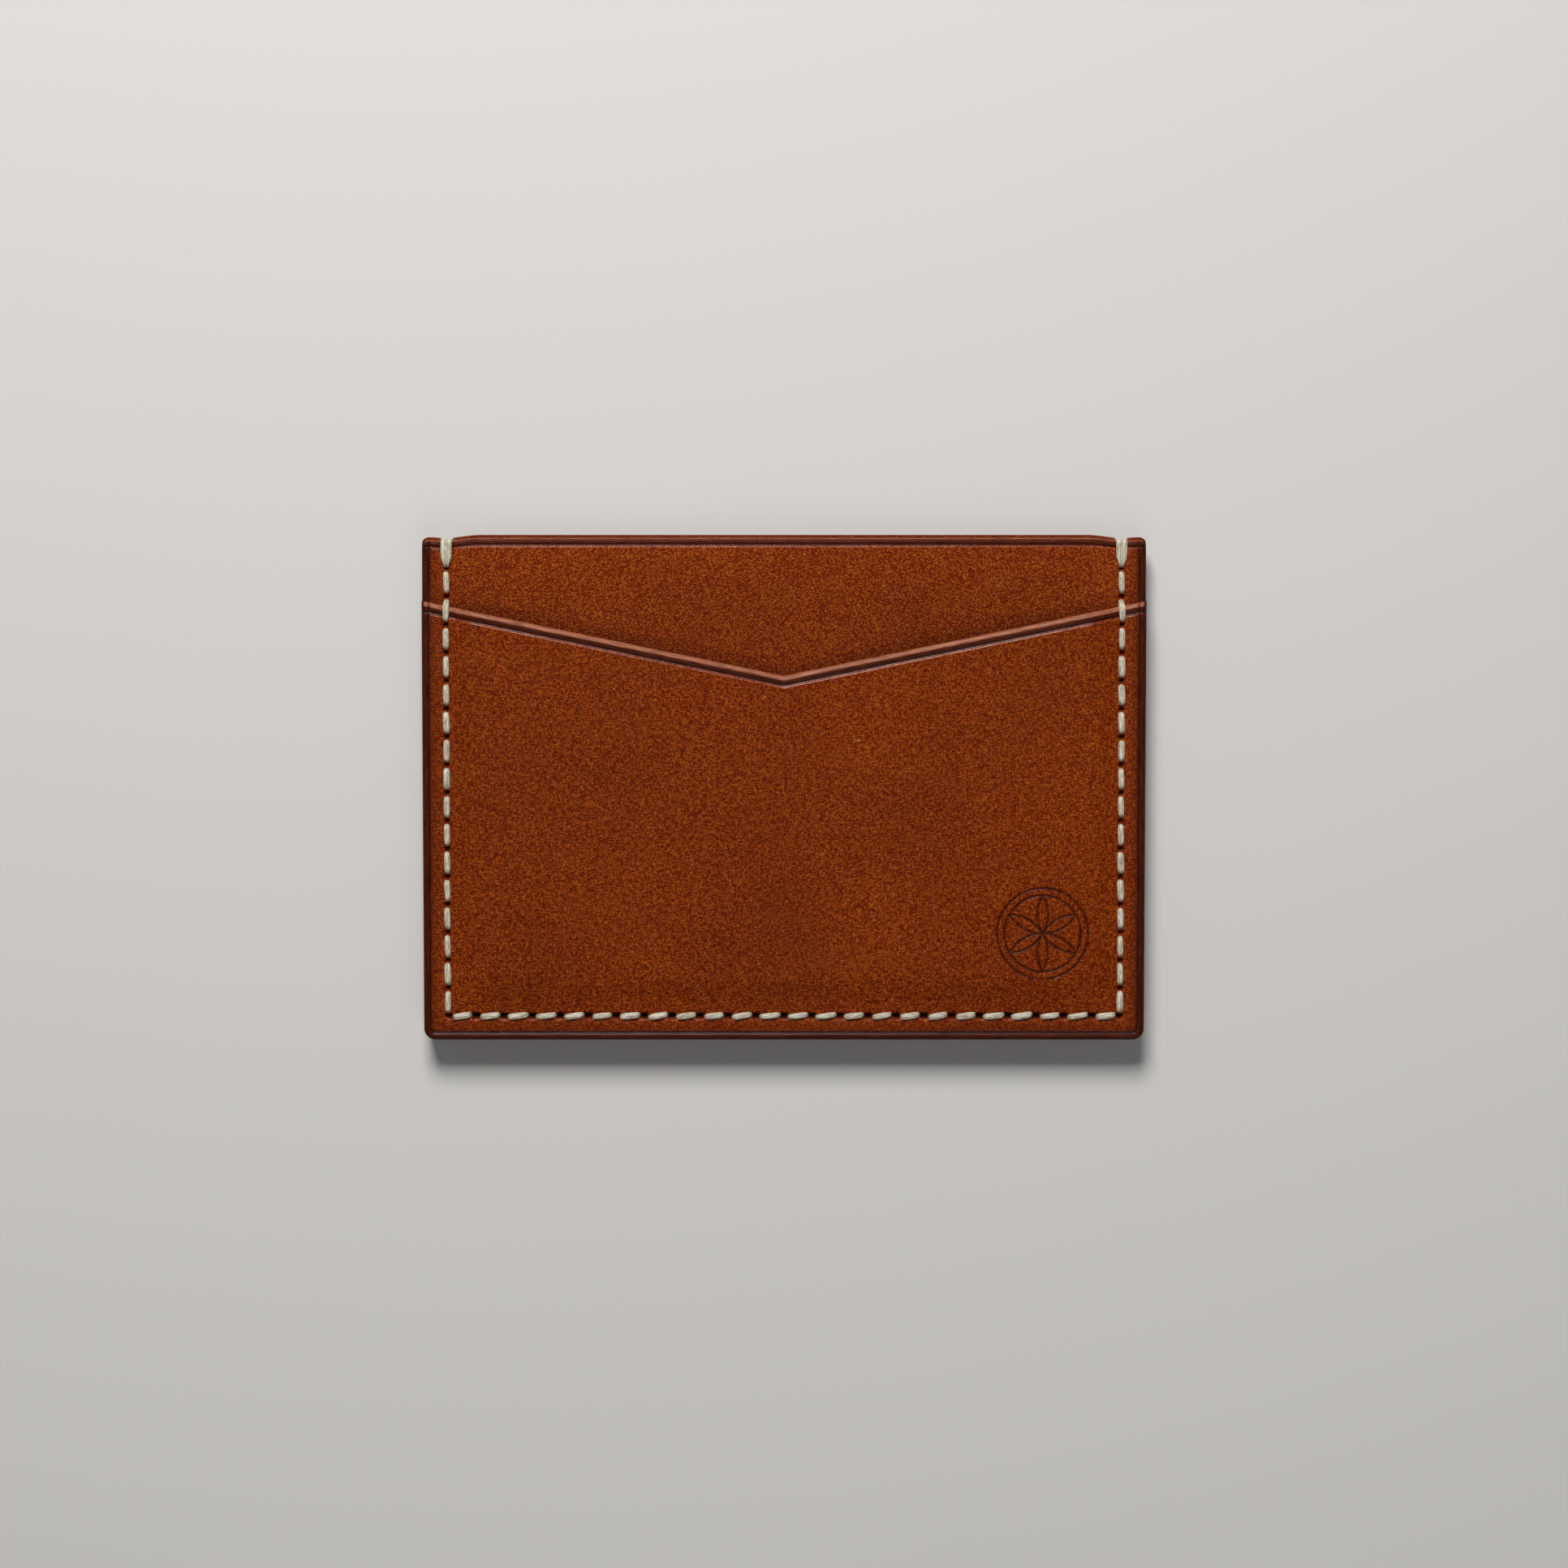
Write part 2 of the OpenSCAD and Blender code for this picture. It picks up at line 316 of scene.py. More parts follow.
def panel(name, is_pocket, bow, has_rosette=False, rear=False, step=0.0):
    """One leather panel: its outer face carries the rounded edges, creases, seam and ornament."""
    bm = flat_sheet(is_pocket)
    made = bmesh.ops.extrude_face_region(bm, geom=bm.faces[:])
    outer = [v for v in made["geom"] if isinstance(v, bmesh.types.BMVert)]
    bmesh.ops.translate(bm, vec=(0, 0, 1), verts=outer)
    refine(bm, near_seam, 4)
    if has_rosette:
        refine(bm, near_rosette, 8)
    finish_and_shade = bm.verts.layers.float_color.new("finish_and_shade")
    polish_and_painted_light = bm.verts.layers.float_color.new("polish_and_painted_light")
    rim = bm.verts.layers.float_vector.new("rim")
    base = MID_Z + (LEATHER if is_pocket else 0)
    free_at = V_CREASE_AT if is_pocket else MOUTH_CREASE_AT
    bare_w = V_BARE_W if is_pocket else MOUTH_BARE_W
    drift = Vector((hash_of(name), 0.3, 0.7)) * 10
    for v in bm.verts:
        x, y = v.co.x, v.co.y
        side_d = min(HALF_W - abs(x), y)
        free_d = v_distance(x, y) if is_pocket else HOLDER_H - y
        bare = is_pocket or y > v_edge_y(x) + 0.2 * MM
        wave = WAVE_DEPTH * (noise.noise(Vector((x, y, 0)) * 90 + drift) - 0.9)
        level = (bow + wave) * field_rise(x, y)
        dye_and_margin_shade = burn_and_painted_shade = flesh = edge = pressed = ridge = 0.0
        if is_outer(v):
            drop, groove, hole, ridge = outer_drop(x, y, side_d, free_d, is_pocket, bare)
            if has_rosette:
                pressed = bump_at(rosette_distance(x, y), PRESS_W)
                drop += PRESS_DEPTH * pressed
            z = base + LEATHER + level - drop
            # the dye covers the edge to the side crease and fades over 1.9 mm inward of it; that fade is
            # partly edge dye and partly painted shade on the margin's slope
            dye_and_margin_shade = max(smooth((SIDE_CREASE_AT + 0.07 * MM - side_d) / (0.08 * MM)),
                      (1.0 if is_pocket else 0.92) * smooth((free_at + 0.05 * MM - free_d) / (0.08 * MM)),
                      0.5 * (1 - smooth((side_d - SIDE_CREASE_AT) / (1.9 * MM))))
            edge = (1.0 if is_pocket else 0.8) * smooth((bare_w + 0.05 * MM - free_d) / (0.12 * MM))
            edge *= smooth((side_d - 0.2 * MM) / (0.4 * MM))
            # painted shade: holes and pressed lines are darkened toward black, and crease bottoms partly by
            # painted shade and partly by the creaser's burn
            burn_and_painted_shade = max(hole, 0.75 * groove, 0.85 * pressed)
            # painted shade: the divider is darkened over 2.6 mm above the pocket's V edge, standing in for
            # the shade of the pocket's edge
            if not is_pocket:
                burn_and_painted_shade = max(burn_and_painted_shade, 0.3 * (1 - smooth((y - v_edge_y(x)) / (2.6 * MM))))
        else:
            z = base + level + rounded(free_d, INNER_ROUND)
            flesh = smooth((min(side_d, free_d) - 0.8 * MM) / (0.2 * MM))
            dye_and_margin_shade = 1.0 if side_d < INNER_ROUND else 0.45
            edge = 1.0 if is_pocket and free_d < INNER_ROUND else 0.0
        near_free = free_d < side_d
        depth = free_d if near_free else side_d
        run = x if near_free or y < HALF_W - abs(x) else y
        gloss = 0.0
        if is_outer(v):
            bead = (0.38 if is_pocket else 0.12) - 0.1 * edge if near_free else 0.22
            gloss = polish_at(depth, free_at if near_free else SIDE_CREASE_AT, bead)
            gloss = max(gloss, 0.3 * pressed, ridge)
        # painted light: the leather is painted lighter toward the mouth
        painted_mouth_light = smooth((y - V_SIDE_Y + 6 * MM) / (HOLDER_H - V_SIDE_Y + 4 * MM))
        x, y = round_corners(x, y, is_pocket)
        if not is_pocket:
            y -= mouth_dip(x, y, step)
        v.co = (x, y, z)
        v[finish_and_shade] = (dye_and_margin_shade, burn_and_painted_shade, flesh, edge)
        v[polish_and_painted_light] = (gloss, painted_mouth_light, 0, 1)
        v[rim] = (run, depth, z)
    if rear:
        bmesh.ops.scale(bm, vec=(1, 1, -1), verts=bm.verts)
        bmesh.ops.translate(bm, vec=(0, 0, 2 * MID_Z), verts=bm.verts)
    bmesh.ops.recalc_face_normals(bm, faces=bm.faces)
    for f in bm.faces:
        f.smooth = True
    return piece(name, bm)


def hash_of(name):
    """A steady number from a piece's name, to set its patterns apart."""
    return sum(ord(c) * (i + 1) for i, c in enumerate(name)) % 97 / 97


def piece(name, bm):
    """Makes an object of a finished bmesh, moved to its place in the frame."""
    bmesh.ops.translate(bm, vec=(0, BOTTOM_Y, 0), verts=bm.verts)
    mesh = bpy.data.meshes.new(name)
    bm.to_mesh(mesh)
    bm.free()
    obj = bpy.data.objects.new(name, mesh)
    bpy.context.scene.collection.objects.link(obj)
    return obj


# ---------------------------------------------------------------- thread
RING_POINTS = 12         # points round a strand
STITCH_STATIONS = 13     # rings along a stitch


def strand(bm, stations, side, seed):
    """A tube of waxed thread through stations of (centre, up, width, height), side across it."""
    rng = random.Random(seed)
    fibre = bm.verts.layers.float_vector["fibre"]
    run = rng.uniform(0, 40)
    turn = rng.uniform(0, 6.3)
    twist = rng.uniform(0.8, 1.6)
    ring = bmesh.ops.create_circle(bm, segments=RING_POINTS, radius=1.0, cap_ends=True)["verts"]
    for v in ring:
        v[fibre] = v.co
    end = ring[0].link_faces[0]
    for i, (centre, up, width, height) in enumerate(stations):
        if i:
            last = end
            made = bmesh.ops.extrude_face_region(bm, geom=[last])
            end = next(g for g in made["geom"] if isinstance(g, bmesh.types.BMFace))
            if i > 1:
                bmesh.ops.delete(bm, geom=[last], context="FACES_ONLY")
            run += (centre - stations[i - 1][0]).length / MM
        for v in end.verts:
            c, s = v[fibre].x, v[fibre].y       # the point's place on the round of the strand
            plump = 1 + 0.045 * math.cos(5 * math.atan2(s, c) + turn + twist * run)
            across = math.copysign(abs(c) ** 0.85, c) * width / 2 * plump
            rise = math.copysign(abs(s) ** 0.85, s) * height / 2 * plump
            v.co = centre + side * across + up * rise
            v[fibre] = (c, s, run)


def stitch(bm, start, end, height_at, side, seed, gap, slant):
    """One laid stitch between two holes. height_at(t) is the leather's face under it, for t 0 to 1."""
    rng = random.Random(seed)
    along = (end - start).normalized()
    length = (end - start).length
    width = THREAD_W * rng.uniform(0.9, 1.06)
    inward = length / 2 - gap * rng.uniform(0.85, 1.15)
    lean = side * (slant + rng.uniform(-0.05, 0.05) * MM)
    stations = []
    for i in range(STITCH_STATIONS):
        t = -1 + 2 * i / (STITCH_STATIONS - 1)
        t = math.copysign(abs(t) ** 0.8, t)
        centre = (start + end) / 2 + along * t * inward + lean * t
        face = height_at(0.5 + t * inward / length)
        sink = 0.72 * MM * abs(t) ** 7
        taper = 1 - 0.16 * t * t - 0.42 * abs(t) ** 8
        stations.append((centre + Vector((0, 0, face + 0.1 * MM - sink)), Vector((0, 0, 1)),
                         width * taper, THREAD_H * (1 - 0.25 * abs(t) ** 5)))
    strand(bm, stations, side, seed)


def wrap(bm, x, seed):
    """The doubled stitch from the first front hole over the mouth to the first rear hole."""
    rng = random.Random(seed)
    face = MID_Z + LEATHER
    top = WRAP_TOP_Y - 0.42 * MM
    for s in (-1, 1):
        spread = 0.37 * MM * rng.uniform(0.92, 1.04)
        front = []
        for t in (0, 0.08, 0.2, 0.38, 0.6, 0.8, 0.93):
            y = SEAM_TOP_Y + 0.12 * MM + (top - SEAM_TOP_Y) * t
            sink = 0.6 * MM * (1 - smooth(t / 0.14))
            out = spread * (0.32 + 0.68 * smooth(t / 0.5))
            wide = 0.5 + 0.34 * smooth(t / 0.42)
            front.append((Vector((x + s * out, y, face + 0.12 * MM - sink)), Vector((0, 0, 1)), wide * MM,
                          (0.5 - 0.06 * t) * MM))
        turned = []
        reach = LEATHER + 0.12 * MM
        for a in range(15, 180, 15):
            c, n = math.cos(math.radians(a)), math.sin(math.radians(a))
            # a flattened half turn over the mouth
            z = MID_Z + math.copysign(abs(c) ** 0.6, c) * reach
            y = top + n ** 0.6 * 0.2 * MM
            turned.append((Vector((x + s * spread, y, z)), Vector((0, n, c)), 0.82 * MM, 0.44 * MM))
        rear = [(Vector((c.x, c.y, 2 * MID_Z - c.z)), Vector((0, 0, -1)), w, h)
                for c, _, w, h in reversed(front)]
        strand(bm, front + turned + rear, Vector((s, 0, 0)), seed + s)


def face_stitches(bm, seeds):
    """The laid stitches of the front face: down both sides, then along the bottom."""
    across_x, across_y = Vector((1, 0, 0)), Vector((0, 1, 0))
    low, high = MID_Z + LEATHER, MID_Z + 2 * LEATHER
    v_at_seam = v_edge_y(SEAM_X)
    for s in (-1, 1):
        for i in range(SIDE_STITCHES):
            start = Vector((s * SEAM_X, SEAM_TOP_Y - i * SIDE_PITCH, 0))
            end = start - Vector((0, SIDE_PITCH, 0))

            def climb(t, top_y=start.y):
                """The stitch that crosses the V edge climbs from the divider onto the pocket."""
                above = top_y - t * SIDE_PITCH - v_at_seam
                return low + (high - low) * smooth((0.85 * MM - above) / (1.1 * MM))
            stitch(bm, start, end, climb, across_x, seeds + 100 * s + i, 0.35 * MM, 0.03 * MM)
    for i in range(BOTTOM_STITCHES):
        start = Vector((-SEAM_X + i * BOTTOM_PITCH, SEAM_INSET, 0))
        end = start + Vector((BOTTOM_PITCH, 0, 0))
        stitch(bm, start, end, lambda t: high, across_y, seeds + 500 + i, 0.5 * MM, 0.18 * MM)


def seam():
    """All the stitches of the front face and the rear face, and the two wraps."""
    bm = bmesh.new()
    bm.verts.layers.float_vector.new("fibre")
    face_stitches(bm, 1000)
    bmesh.ops.scale(bm, vec=(1, 1, -1), verts=bm.verts)
    bmesh.ops.translate(bm, vec=(0, 0, 2 * MID_Z), verts=bm.verts)
    face_stitches(bm, 0)
    for s in (-1, 1):
        wrap(bm, s * SEAM_X, 77 + s)
    bmesh.ops.recalc_face_normals(bm, faces=bm.faces)
    for f in bm.faces:
        f.smooth = True
    return piece("saddle_stitched_thread", bm)


# ---------------------------------------------------------------- colours, each pair from dark to light
FRONT_TONES = ((0.12, 0.009, 0.0002), (0.45, 0.09, 0.009))
DIVIDER_TONES = ((0.122, 0.01, 0.0002), (0.46, 0.102, 0.01))
DYED_EDGE_TONES = ((0.034, 0.004, 0.001), (0.1, 0.015, 0.004))
BARE_EDGE_TONES = ((0.2, 0.05, 0.022), (0.5, 0.19, 0.1))
SUEDE_TONES = ((0.22, 0.1, 0.045), (0.34, 0.17, 0.085))
LINEN_TONES = ((0.28, 0.21, 0.13), (0.88, 0.84, 0.68))
STREAK_TONE = (0.36, 0.09, 0.012)
LINT_TONE = (0.45, 0.32, 0.22)
BURN_AND_SHADE_TONE = (0.004, 0.001, 0.0006)
GRIME_TONE = (0.5, 0.34, 0.2)
FLOOR_TONE = (0.74, 0.72, 0.69)


# ---------------------------------------------------------------- shader groups
def node(tree, kind, **values):
    """A new node. A value named in_X is set on its socket X, and any other on the node itself."""
    made = tree.nodes.new(kind)
    for key, value in values.items():
        if key.startswith("in_"):
            made.inputs[key[3:].replace("_", " ")].default_value = value
        else:
            setattr(made, key, value)
    return made


def math_node(tree, operation, a, b=None, clamp=False):
    made = tree.nodes.new("ShaderNodeMath")
    made.operation = operation
    made.use_clamp = clamp
    for socket, value in zip(made.inputs, (a, b)):
        if value is None:
            continue
        if hasattr(value, "links"):
            tree.links.new(value, socket)
        else:
            socket.default_value = value
    return made.outputs[0]


def mix_colour(tree, factor, a, b, blend="MIX"):
    made = tree.nodes.new("ShaderNodeMix")
    made.data_type = "RGBA"
    made.blend_type = blend
    for socket, value in ((made.inputs[0], factor), (made.inputs[6], a), (made.inputs[7], b)):
        if hasattr(value, "links"):
            tree.links.new(value, socket)
        else:
            socket.default_value = (*value, 1.0) if isinstance(value, tuple) else value
    return made.outputs[2]


def map_range(tree, value, low, high, to_low=0.0, to_high=1.0):
    made = tree.nodes.new("ShaderNodeMapRange")
    tree.links.new(value, made.inputs["Value"])
    made.inputs["From Min"].default_value = low
    made.inputs["From Max"].default_value = high
    made.inputs["To Min"].default_value = to_low
    made.inputs["To Max"].default_value = to_high
    return made.outputs[0]


def new_group(name, inputs, outputs):
    group = bpy.data.node_groups.new(name, "ShaderNodeTree")
    for label, kind, value in inputs:
        socket = group.interface.new_socket(label, in_out="INPUT", socket_type=kind)
        if value is not None:
            socket.default_value = value
    for label, kind in outputs:
        group.interface.new_socket(label, in_out="OUTPUT", socket_type=kind)
    return group, group.nodes.new("NodeGroupInput"), group.nodes.new("NodeGroupOutput")


def noise_texture(tree, vector, scale, detail=2.0, rough=0.5, distortion=0.0):
    made = node(tree, "ShaderNodeTexNoise", in_Scale=scale, in_Detail=detail, in_Roughness=rough,
                in_Distortion=distortion)
    tree.links.new(vector, made.inputs["Vector"])
    return made.outputs["Fac"]


def leather_grain():
    """Fine leather grain: a height, and a mask of its crests. Weave draws it out along X and along Y."""
    group, given, out = new_group(
        "leather_grain",
        [("Vector", "NodeSocketVector", None), ("Pebbles", "NodeSocketFloat", 2300.0),
         ("Weave", "NodeSocketFloat", 0.5)],
        [("Height", "NodeSocketFloat"), ("Crest", "NodeSocketFloat")])
    links = group.links
    offset = group.nodes.new("ShaderNodeVectorMath")
    offset.operation = "MULTIPLY_ADD"
    bend = node(group, "ShaderNodeTexNoise", in_Scale=900.0, in_Detail=2.0)
    links.new(given.outputs["Vector"], bend.inputs["Vector"])
    links.new(bend.outputs["Color"], offset.inputs[0])
    offset.inputs[1].default_value = (0.0005, 0.0005, 0.0005)
    links.new(given.outputs["Vector"], offset.inputs[2])
    cells = node(group, "ShaderNodeTexVoronoi", feature="SMOOTH_F1", in_Smoothness=0.3)
    links.new(offset.outputs[0], cells.inputs["Vector"])
    links.new(given.outputs["Pebbles"], cells.inputs["Scale"])
    pebble = map_range(group, cells.outputs["Distance"], 0.1, 0.62, 1.0, 0.0)
    threads = []
    for stretch in ((1600, 5900, 3600), (5900, 1600, 3600)):
        drawn = node(group, "ShaderNodeMapping")
        drawn.inputs["Scale"].default_value = stretch
        links.new(given.outputs["Vector"], drawn.inputs["Vector"])
        threads.append(noise_texture(group, drawn.outputs[0], 1.0, 2.0, 0.55))
    woven = math_node(group, "MAXIMUM", threads[0], threads[1])
    woven = map_range(group, woven, 0.4, 0.75)
    mixed = group.nodes.new("ShaderNodeMix")
    links.new(given.outputs["Weave"], mixed.inputs[0])
    links.new(pebble, mixed.inputs[2])
    links.new(woven, mixed.inputs[3])
    pores = noise_texture(group, given.outputs["Vector"], 6500.0, 2.0, 0.6)
    height = math_node(group, "MULTIPLY", mixed.outputs[0], 0.75)
    height = math_node(group, "ADD", height, math_node(group, "MULTIPLY", pores, 0.5))
    links.new(height, out.inputs["Height"])
    links.new(map_range(group, height, 0.42, 0.84), out.inputs["Crest"])
    return group


def cloudy_tone():
    """Slow clouds of tone over a hide, with faint drawn streaks."""
    group, given, out = new_group(
        "cloudy_tone", [("Vector", "NodeSocketVector", None)],
        [("Cloud", "NodeSocketFloat"), ("Streak", "NodeSocketFloat")])
    links = group.links
    tone_and_painted_light = noise_texture(group, given.outputs["Vector"], 38.0, 4.0, 0.55, 0.4)
    links.new(map_range(group, tone_and_painted_light, 0.32, 0.7), out.inputs["Cloud"])
    squash = node(group, "ShaderNodeMapping")
    squash.inputs["Rotation"].default_value = (0, 0, math.radians(-18))
    squash.inputs["Scale"].default_value = (40, 260, 40)
    links.new(given.outputs["Vector"], squash.inputs["Vector"])
    streak = noise_texture(group, squash.outputs[0], 1.0, 3.0, 0.6)
    links.new(map_range(group, streak, 0.55, 0.8), out.inputs["Streak"])
    return group


def place_group(tree, group, vector, **values):
    made = tree.nodes.new("ShaderNodeGroup")
    made.node_tree = group
    tree.links.new(vector, made.inputs["Vector"])
    for key, value in values.items():
        made.inputs[key].default_value = value
    return made


def new_material(name):
    material = bpy.data.materials.new(name)
    material.use_nodes = True
    tree = material.node_tree
    tree.nodes.clear()
    out = tree.nodes.new("ShaderNodeOutputMaterial")
    shader = tree.nodes.new("ShaderNodeBsdfPrincipled")
    tree.links.new(shader.outputs[0], out.inputs["Surface"])
    return material, tree, shader


def mask_parts(tree, attribute):
    """The red, green and blue masks of a vertex attribute, and the attribute node itself."""
    marks = node(tree, "ShaderNodeAttribute", attribute_name=attribute)
    parts = tree.nodes.new("ShaderNodeSeparateColor")
    tree.links.new(marks.outputs["Color"], parts.inputs[0])
    return parts.outputs[0], parts.outputs[1], parts.outputs[2], marks


def edge_streaks(tree):
    """Fine lines that burnishing leaves along an edge, drawn on the rim attribute."""
    rim = node(tree, "ShaderNodeAttribute", attribute_name="rim")
    drawn = node(tree, "ShaderNodeMapping")
    drawn.inputs["Scale"].default_value = (420, 7000, 7000)
    tree.links.new(rim.outputs["Vector"], drawn.inputs["Vector"])
    return map_range(tree, noise_texture(tree, drawn.outputs[0], 1.0, 3.0, 0.65), 0.36, 0.66)


def leather_material(name, deep, tan, pebbles, weave, turn, stretch, seed):
    """Grained leather with dyed, burnished edges, creases and holes darkened with painted shade (the creases
    partly with the creaser's burn), painted light toward the mouth, and a pale flesh side.
    """
    material, tree, shader = new_material(name)
    links = tree.links
    coords = tree.nodes.new("ShaderNodeTexCoord")
    here = coords.outputs["Object"]
    turned = node(tree, "ShaderNodeMapping")
    turned.inputs["Location"].default_value = (seed * 0.37, seed * 0.11, 0)
    turned.inputs["Rotation"].default_value = (0, 0, math.radians(turn))
    turned.inputs["Scale"].default_value = (1.0, stretch, 1.0)
    links.new(here, turned.inputs["Vector"])
    grain = place_group(tree, GRAIN, turned.outputs[0], Pebbles=pebbles, Weave=weave)
    tone = place_group(tree, TONE, turned.outputs[0])
    dye_and_margin_shade, burn_and_painted_shade, flesh, marks = mask_parts(tree, "finish_and_shade")
    edge = marks.outputs["Alpha"]
    gloss, painted_mouth_light = mask_parts(tree, "polish_and_painted_light")[:2]
    streaks = edge_streaks(tree)

    face = mix_colour(tree, grain.outputs["Crest"], deep, tan)
    tone_and_painted_light = map_range(tree, tone.outputs["Cloud"], 0.0, 1.0, 0.9, 1.1)
    # painted light: the tone is brightened toward the mouth
    tone_and_painted_light = math_node(tree, "ADD", tone_and_painted_light, math_node(tree, "MULTIPLY", painted_mouth_light, 0.22))
    shade = tree.nodes.new("ShaderNodeCombineColor")
    for socket in shade.inputs:
        links.new(tone_and_painted_light, socket)
    face = mix_colour(tree, 1.0, face, shade.outputs[0], "MULTIPLY")
    drawn = math_node(tree, "MULTIPLY", tone.outputs["Streak"], 0.12)
    face = mix_colour(tree, drawn, face, STREAK_TONE)
    lint = noise_texture(tree, here, 1700.0, 1.0, 0.4)
    specks = map_range(tree, lint, 0.79, 0.83)
    face = mix_colour(tree, math_node(tree, "MULTIPLY", specks, 0.5), face, LINT_TONE)

    dyed = mix_colour(tree, streaks, *DYED_EDGE_TONES)
    # edge dye, with painted shade on the side margins
    surface = mix_colour(tree, dye_and_margin_shade, face, dyed)
    bare = mix_colour(tree, streaks, *BARE_EDGE_TONES)
    surface = mix_colour(tree, edge, surface, bare)
    # painted shade in holes and pressed lines, and in creases partly the creaser's burn
    surface = mix_colour(tree, math_node(tree, "MULTIPLY", burn_and_painted_shade, 0.95), surface, BURN_AND_SHADE_TONE)
    suede = mix_colour(tree, grain.outputs["Crest"], *SUEDE_TONES)
    surface = mix_colour(tree, flesh, surface, suede)
    links.new(surface, shader.inputs["Base Color"])

    rough = map_range(tree, grain.outputs["Crest"], 0.0, 1.0, 0.52, 0.36)
    rough = math_node(tree, "ADD", rough, math_node(tree, "MULTIPLY", flesh, 0.35), clamp=True)
    links.new(rough, shader.inputs["Roughness"])
    wax = math_node(tree, "MULTIPLY", gloss, map_range(tree, streaks, 0.0, 1.0, 0.35, 0.75))
    wax = math_node(tree, "MULTIPLY", wax, math_node(tree, "SUBTRACT", 1.0, flesh))
    links.new(wax, shader.inputs["Coat Weight"])
    shader.inputs["Coat Roughness"].default_value = 0.24
    calm = math_node(tree, "SUBTRACT", 1.0, math_node(tree, "MULTIPLY", math_node(
        tree, "MAXIMUM", dye_and_margin_shade, gloss), 0.8))
    height = math_node(tree, "MULTIPLY", grain.outputs["Height"], calm)
    height = math_node(tree, "ADD", height, math_node(tree, "MULTIPLY", streaks, math_node(
        tree, "MULTIPLY", gloss, 0.3)))
    relief = node(tree, "ShaderNodeBump", in_Strength=1.0, in_Distance=0.0001)
    links.new(height, relief.inputs["Height"])
    links.new(relief.outputs[0], shader.inputs["Normal"])
    shader.inputs["Specular IOR Level"].default_value = 0.05
    return material


def thread_material():
    """Undyed waxed linen: lengthwise fibres, a soft sheen and patches of grime."""
    material, tree, shader = new_material("waxed_linen")
    links = tree.links
    lay = node(tree, "ShaderNodeAttribute", attribute_name="fibre")
    fibres = node(tree, "ShaderNodeMapping")
    fibres.inputs["Scale"].default_value = (3.6, 3.6, 0.9)
    links.new(lay.outputs["Vector"], fibres.inputs["Vector"])
    lines = noise_texture(tree, fibres.outputs[0], 1.0, 3.0, 0.65, 0.3)
    patches = node(tree, "ShaderNodeMapping")
    patches.inputs["Scale"].default_value = (0.6, 0.6, 0.7)
    links.new(lay.outputs["Vector"], patches.inputs["Vector"])
    tone = noise_texture(tree, patches.outputs[0], 1.0, 2.0, 0.5)
    strands = mix_colour(tree, map_range(tree, lines, 0.35, 0.66), *LINEN_TONES)
    strands = mix_colour(tree, map_range(tree, tone, 0.5, 0.75, 0.0, 0.35), strands, GRIME_TONE)
    links.new(strands, shader.inputs["Base Color"])
    shader.inputs["Roughness"].default_value = 0.5
    shader.inputs["Sheen Weight"].default_value = 0.15
    relief = node(tree, "ShaderNodeBump", in_Strength=0.9, in_Distance=0.00007)
    links.new(lines, relief.inputs["Height"])
    links.new(relief.outputs[0], shader.inputs["Normal"])
    return material


def floor_material():
    material, _, shader = new_material("pale_floor")
    shader.inputs["Base Color"].default_value = (*FLOOR_TONE, 1)
    shader.inputs["Roughness"].default_value = 0.75
    return material


# ---------------------------------------------------------------- stage
def add_floor():
    bm = bmesh.new()
    bmesh.ops.create_grid(bm, x_segments=1, y_segments=1, size=2.0)
    floor = piece("studio_floor", bm)
    floor.data.materials.append(floor_material())


def aim(obj, place, target):
    """Puts a light at its place and points it at the target."""
    obj.location = place
    direction = Vector(target) - Vector(place)
    obj.rotation_euler = direction.to_track_quat("-Z", "Y").to_euler()


def add_light(name, place, target, size, power):
    data = bpy.data.lights.new(name, "AREA")
    data.shape = "SQUARE"
    data.size = size
    data.energy = power
    light = bpy.data.objects.new(name, data)
    bpy.context.scene.collection.objects.link(light)
    aim(light, place, target)


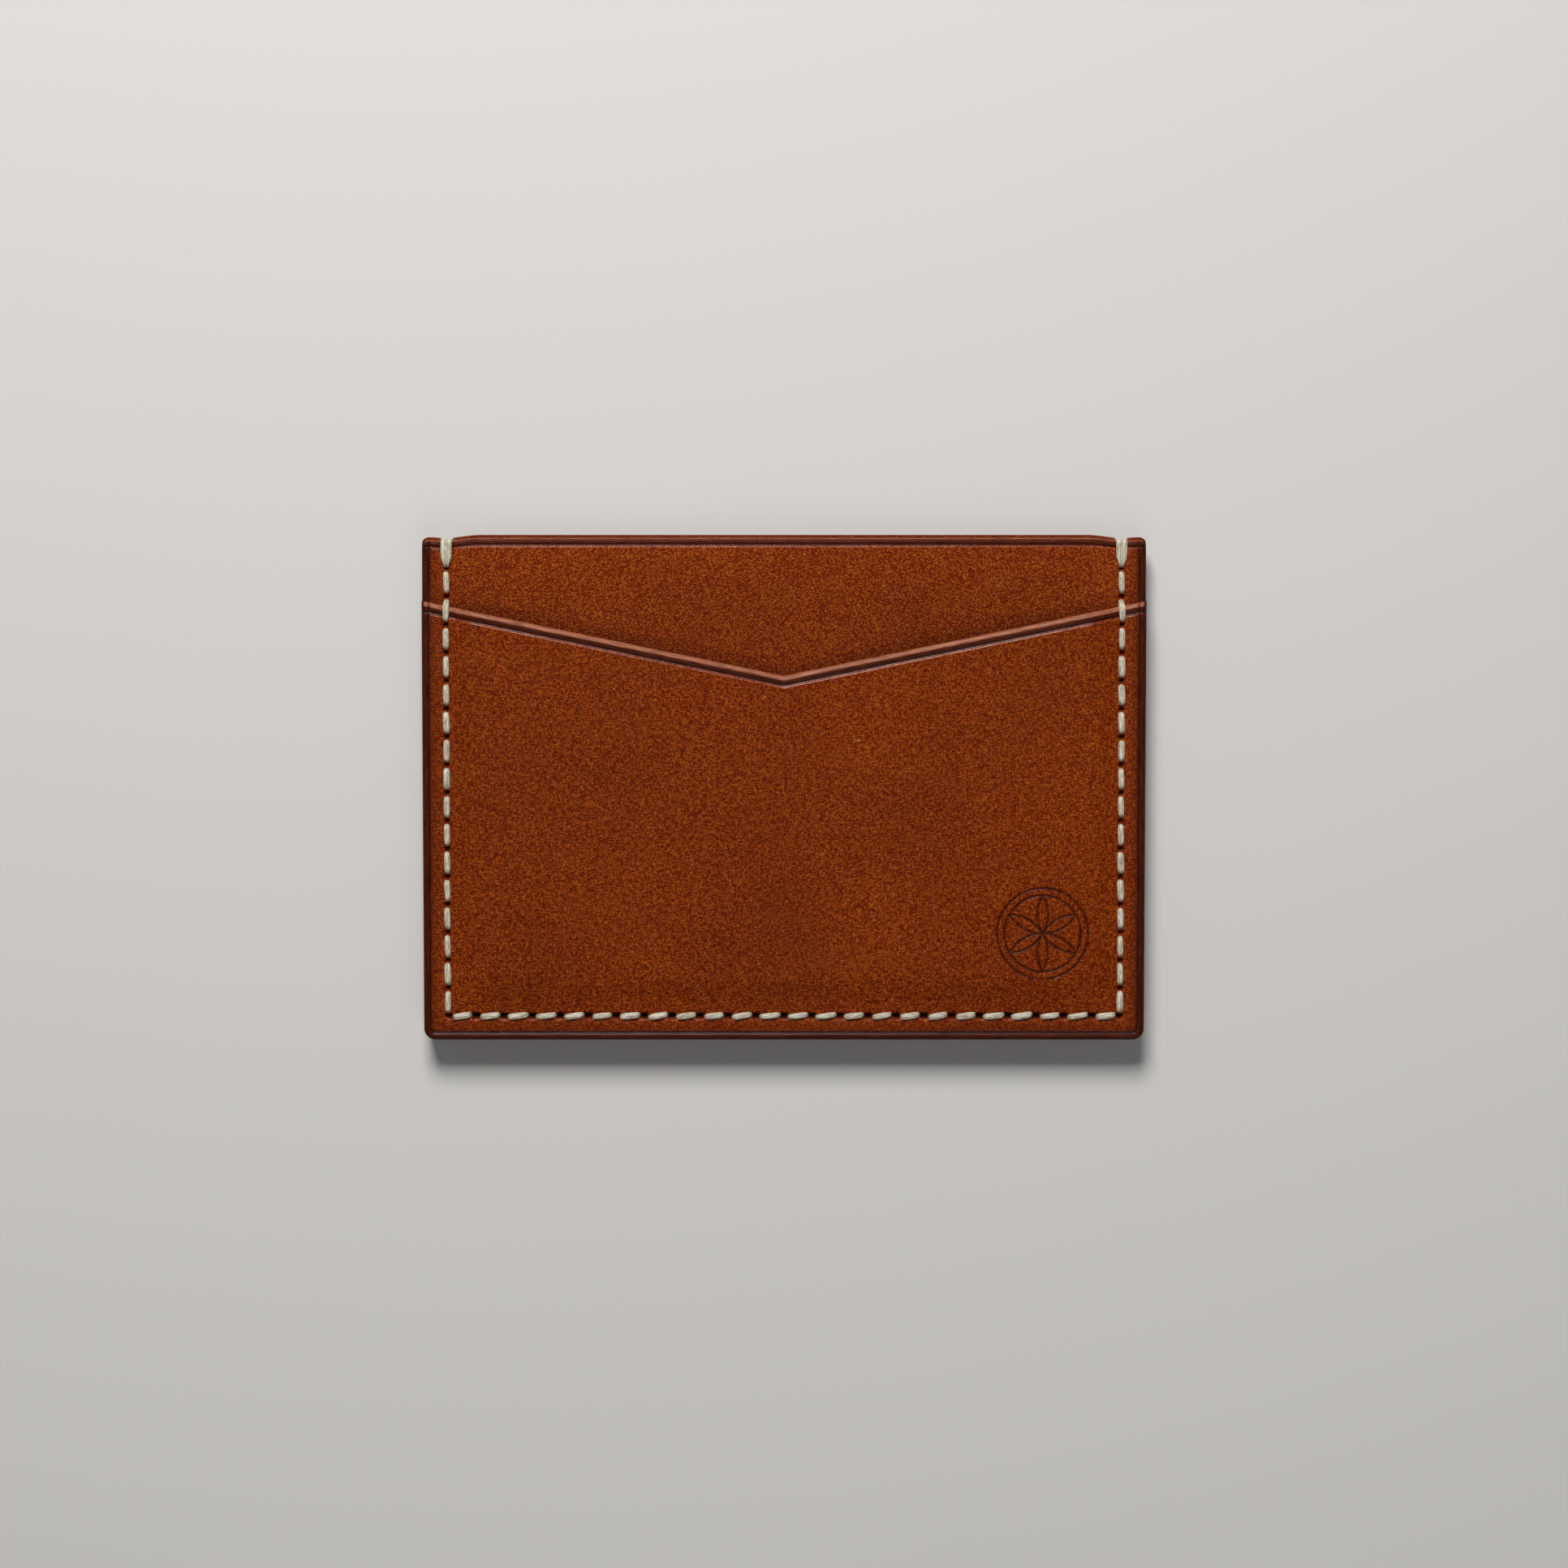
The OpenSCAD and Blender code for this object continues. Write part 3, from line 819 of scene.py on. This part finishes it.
def add_camera():
    data = bpy.data.cameras.new("camera")
    data.lens = 85
    data.sensor_width = 36
    data.clip_start = 0.01
    camera = bpy.data.objects.new("camera", data)
    bpy.context.scene.collection.objects.link(camera)
    seen_w = 217.6 * MM
    distance = seen_w / data.sensor_width * data.lens
    tilt = math.radians(3.8)
    target = Vector((0, 0.5 * MM, MID_Z))
    camera.location = target + distance * Vector((0, math.sin(tilt), math.cos(tilt)))
    camera.rotation_euler = (-tilt, 0, 0)
    bpy.context.scene.camera = camera


def add_lighting():
    centre = (0, 0, 0)
    add_light("key", (-0.08, 0.52, 0.56), centre, 0.26, 5.5)
    add_light("fill", (0.1, -0.5, 0.7), centre, 0.6, 0.9)
    world = bpy.data.worlds.new("studio")
    bpy.context.scene.world = world
    world.use_nodes = True
    world.node_tree.nodes["Background"].inputs[0].default_value = (1, 1, 1, 1)
    world.node_tree.nodes["Background"].inputs[1].default_value = 0.07
    bpy.context.scene.view_settings.view_transform = "Standard"


# ---------------------------------------------------------------- the card holder
GRAIN = leather_grain()
TONE = cloudy_tone()

pieces = [
    (panel("front_pocket_leather", True, CARD_ROOM, has_rosette=True), "front_pocket", "front_leather"),
    (panel("front_divider_leather", False, 0.0, step=MOUTH_STEP), "front_divider", "divider_leather"),
    (panel("rear_divider_leather", False, CARD_ROOM, rear=True), "rear_divider", "divider_leather"),
    (panel("rear_pocket_leather", True, 2 * CARD_ROOM, rear=True), "rear_pocket", "rear_leather"),
    (seam(), "seam_thread", "waxed_thread"),
]
finishes = {
    "front_leather": leather_material("front_leather_finish", *FRONT_TONES, 3200.0, 0.7, 0, 1.0, 1),
    "divider_leather": leather_material("divider_leather_finish", *DIVIDER_TONES, 3500.0, 0.45, -28, 1.3, 2),
    "rear_leather": leather_material("rear_leather_finish", *FRONT_TONES, 3000.0, 0.6, 12, 1.1, 3),
    "waxed_thread": thread_material(),
}
for obj, cad_node, slot_name in pieces:
    obj.data.materials.append(finishes[slot_name])
    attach(obj, "root")
    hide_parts(cad_node)

add_floor()
add_camera()
add_lighting()
